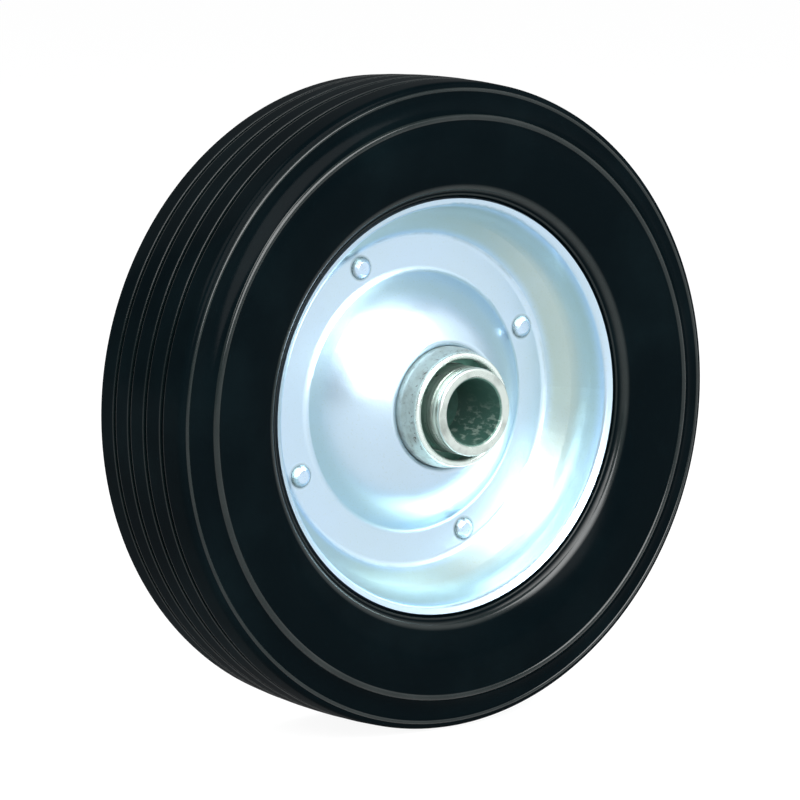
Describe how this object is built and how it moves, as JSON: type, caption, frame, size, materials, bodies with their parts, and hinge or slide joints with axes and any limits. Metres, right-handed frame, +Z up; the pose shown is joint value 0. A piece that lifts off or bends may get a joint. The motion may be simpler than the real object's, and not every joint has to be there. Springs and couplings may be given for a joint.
{
  "type": "solid rubber wheel",
  "caption": "Solid rubber wheel with a ribbed tread on a pressed zinc-plated steel centre, turning on ball bearings round a plain axle bore.",
  "frame": {"origin": "centre of the wheel, midway between its two sides on the axle's centreline", "axes": "+Y along the axle, towards the far side; the side in the picture faces -Y; +Z up"},
  "size_m": [0.2, 0.066, 0.2],
  "materials": {
    "tyre": "satin",
    "zinc": "bright zinc plate",
    "hub_steel": "rough",
    "nose_steel": "turned",
    "bearing_steel": "polished",
    "cage_steel": "satin",
    "seal_steel": "matte"
  },
  "bodies": {
    "axle_core": {"spacer_tube": "hub_steel", "inner_race_near": "nose_steel", "inner_race_far": "nose_steel"},
    "wheel": {"tyre": "tyre", "rim_disc_near": "zinc", "rim_disc_far": "zinc", "disc_rivets": "zinc", "hub_shell": "hub_steel", "outer_race_near": "bearing_steel", "outer_race_far": "bearing_steel", "dust_seal_near": "seal_steel", "dust_seal_far": "seal_steel"},
    "ball_row_near": {"ball_cage_near": "cage_steel", "ball_01_near": "bearing_steel", "ball_02_near": "bearing_steel", "ball_03_near": "bearing_steel", "ball_04_near": "bearing_steel", "ball_05_near": "bearing_steel", "ball_06_near": "bearing_steel", "ball_07_near": "bearing_steel", "ball_08_near": "bearing_steel", "ball_09_near": "bearing_steel", "ball_10_near": "bearing_steel"},
    "ball_row_far": {"ball_cage_far": "cage_steel", "ball_01_far": "bearing_steel", "ball_02_far": "bearing_steel", "ball_03_far": "bearing_steel", "ball_04_far": "bearing_steel", "ball_05_far": "bearing_steel", "ball_06_far": "bearing_steel", "ball_07_far": "bearing_steel", "ball_08_far": "bearing_steel", "ball_09_far": "bearing_steel", "ball_10_far": "bearing_steel"}
  },
  "joints": [
    {"name": "wheel_spin", "type": "hinge", "parent": "axle_core", "child": "wheel", "pos_m": [0, 0, 0], "axis": [0, 1, 0], "continuous": true},
    {"name": "ball_row_near_turn", "type": "hinge", "parent": "axle_core", "child": "ball_row_near", "pos_m": [0, 0, 0], "axis": [0, 1, 0], "continuous": true},
    {"name": "ball_row_far_turn", "type": "hinge", "parent": "axle_core", "child": "ball_row_far", "pos_m": [0, 0, 0], "axis": [0, 1, 0], "continuous": true}
  ],
  "couplings": [
    {"joint": "ball_row_near_turn", "follows": "wheel_spin", "ratio": 0.56868},
    {"joint": "ball_row_far_turn", "follows": "wheel_spin", "ratio": 0.56868}
  ]
}
